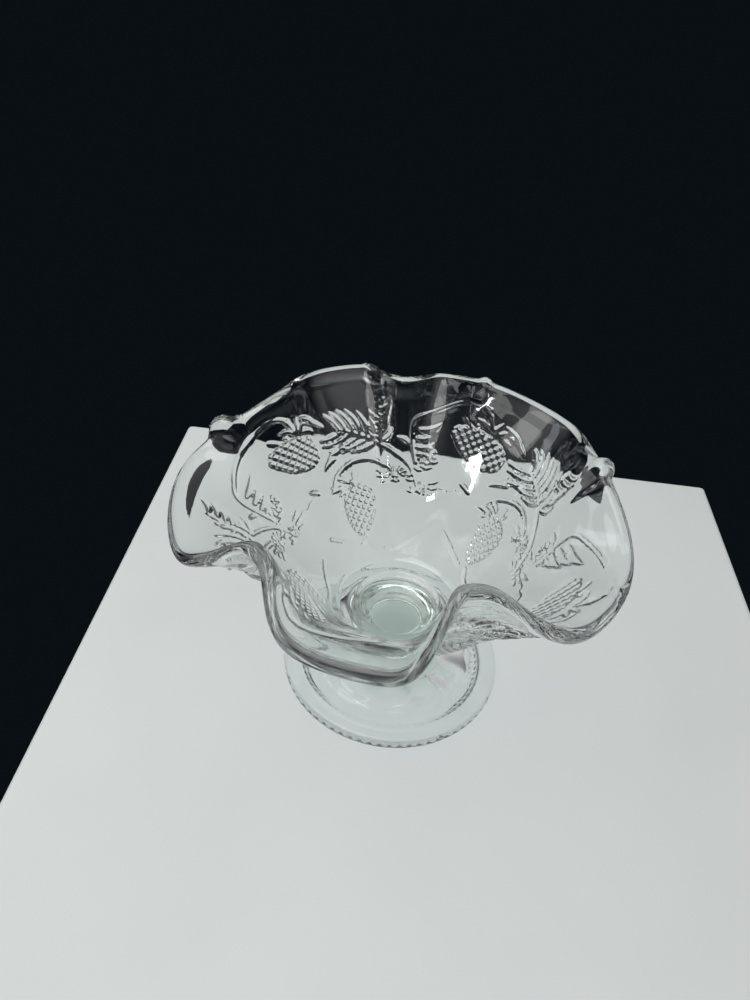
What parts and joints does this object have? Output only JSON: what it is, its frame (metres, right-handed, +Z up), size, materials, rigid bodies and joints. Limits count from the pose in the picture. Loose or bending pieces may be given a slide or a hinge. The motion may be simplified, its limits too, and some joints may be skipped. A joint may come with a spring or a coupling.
{
  "type": "footed crimped glass dish",
  "caption": "Footed sweet dish of clear pressed glass, with a flaring bowl crimped at the rim and a small round well in its floor, on a short stem and a round foot",
  "frame": {"origin": "centre of the foot ring, on the surface that the dish stands on, where the axis of the stem and foot meets it", "axes": "+Z up along the stem, +X to the right and +Y away from the side that is seen in front; the irregular crimps fix the turn about Z"},
  "size_m": [0.1613, 0.169, 0.1078],
  "materials": {
    "bowl_glass": "clear pressed soda-lime glass, fire-polished, pressed relief on the outside",
    "stem_glass": "clear pressed soda-lime glass",
    "foot_glass": "clear pressed soda-lime glass"
  },
  "bodies": {
    "root": {"bowl": "bowl_glass", "stem": "stem_glass", "foot": "foot_glass"}
  },
  "joints": []
}
